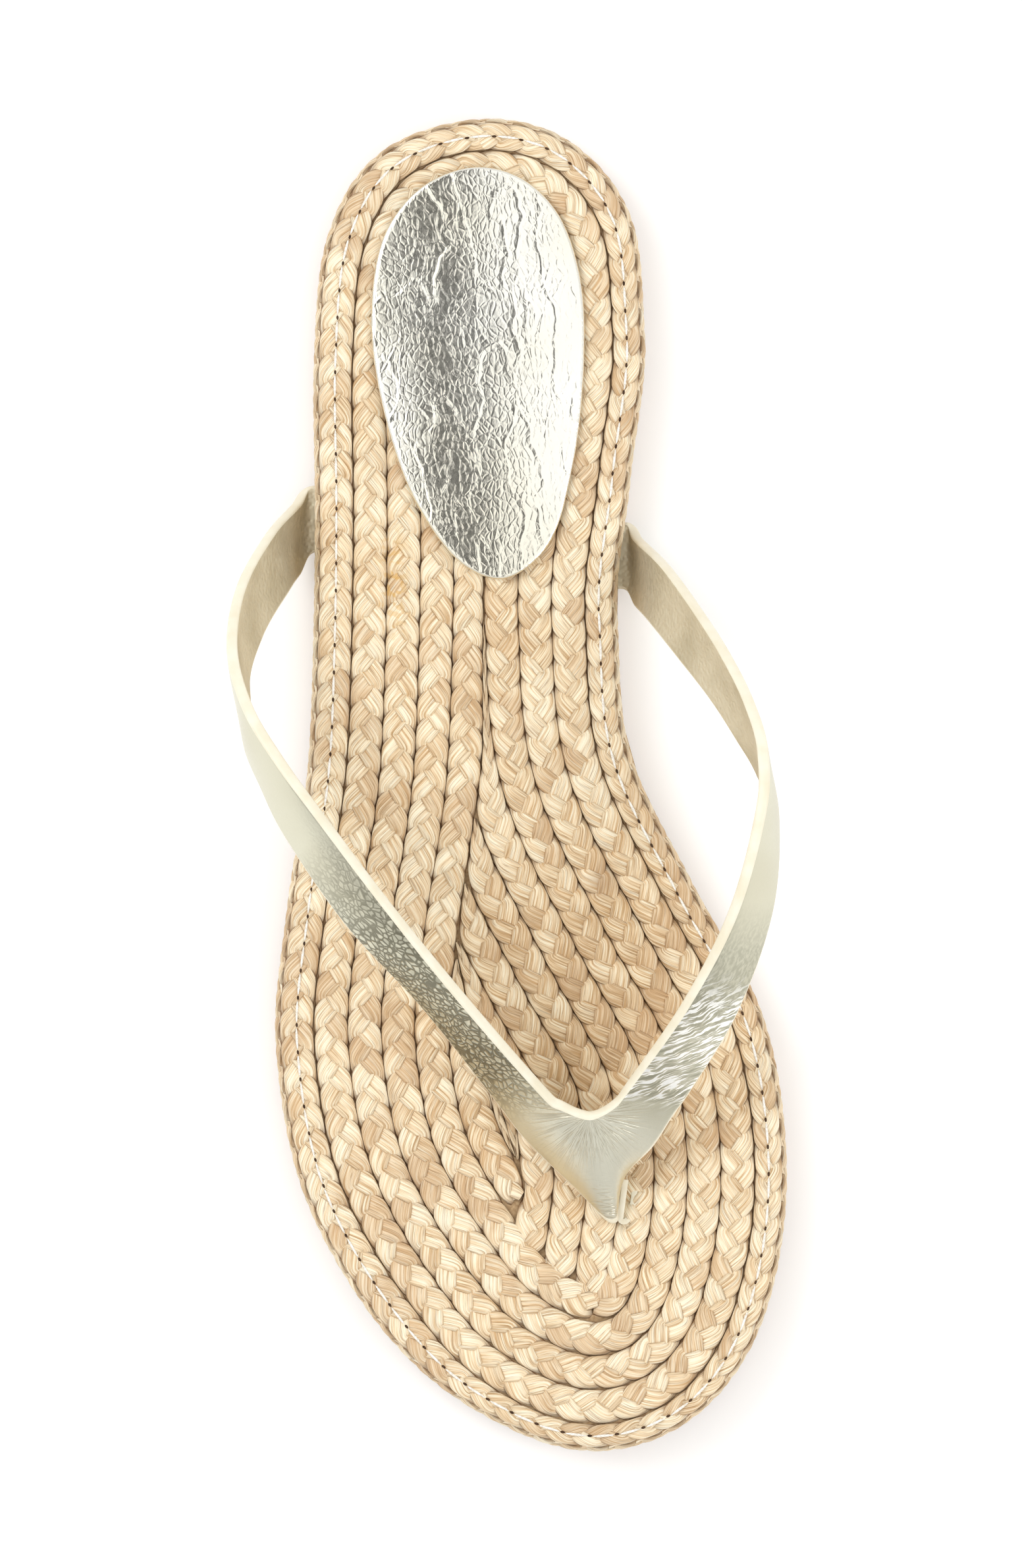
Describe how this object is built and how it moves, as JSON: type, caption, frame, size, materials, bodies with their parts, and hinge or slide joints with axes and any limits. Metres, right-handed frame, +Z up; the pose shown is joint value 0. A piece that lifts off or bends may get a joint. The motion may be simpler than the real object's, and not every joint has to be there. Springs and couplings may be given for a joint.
{
  "type": "thong sandal",
  "caption": "Flat thong sandal for the right foot: braided straw footbed and side, leather strap with a folded toe post, leather heel pad.",
  "frame": {"origin": "on the floor under the middle of the heel, 45 mm from the heel's end", "axes": "+Y towards the toe, +Z up, +X towards the little toe"},
  "size_m": [0.0999, 0.25, 0.0573],
  "materials": {
    "outsole": "matt, fine grain",
    "midsole": "matt, wrapped board",
    "side_braid": "plaited straw, satin",
    "braided_footbed": "plaited straw, satin",
    "heel_pad": "crinkled pale gold foil",
    "thong_strap": "creased pale gold foil, cream edges"
  },
  "bodies": {
    "root": {"outsole": "outsole", "midsole": "midsole", "side_braid": "side_braid", "braided_footbed": "braided_footbed", "heel_pad": "heel_pad", "thong_strap": "thong_strap"}
  },
  "joints": []
}
